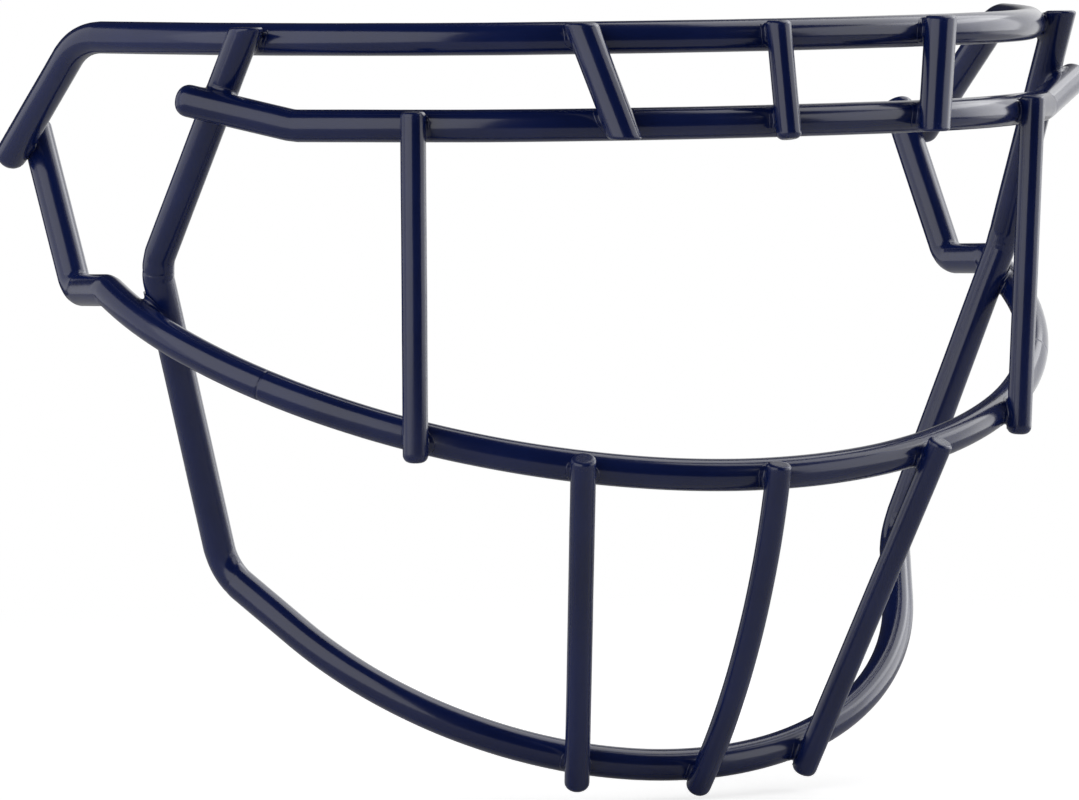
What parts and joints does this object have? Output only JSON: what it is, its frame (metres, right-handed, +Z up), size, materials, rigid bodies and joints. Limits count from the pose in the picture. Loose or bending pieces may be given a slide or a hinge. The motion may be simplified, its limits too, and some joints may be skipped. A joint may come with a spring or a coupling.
{
  "type": "football face guard",
  "caption": "Wire face guard of a football helmet: bent bars and upright wires lap-welded into an open cage and coated",
  "frame": {"origin": "under the middle of the guard's box, at the height of its lowest wire end", "axes": "+X toward the wearer's left, +Y toward the back of the head, +Z up"},
  "size_m": [0.2408, 0.1485, 0.171],
  "materials": {
    "coated_wire": "gloss"
  },
  "bodies": {
    "root": {"brow_bar": "coated_wire", "visor_bar": "coated_wire", "mid_bar": "coated_wire", "jaw_bar": "coated_wire", "brace_left": "coated_wire", "brace_center": "coated_wire", "brace_right": "coated_wire", "cheek_wire_left": "coated_wire", "cheek_wire_right": "coated_wire", "chin_wire_left": "coated_wire", "chin_wire_center": "coated_wire", "chin_wire_right": "coated_wire", "brow_upright_welds": "coated_wire", "visor_upright_welds": "coated_wire", "mid_upright_welds": "coated_wire", "brow_brace_welds": "coated_wire", "visor_brace_welds": "coated_wire", "visor_cheek_welds": "coated_wire", "mid_cheek_welds": "coated_wire", "mid_chin_welds": "coated_wire", "jaw_chin_welds": "coated_wire", "brow_loop_welds": "coated_wire"}
  },
  "joints": []
}
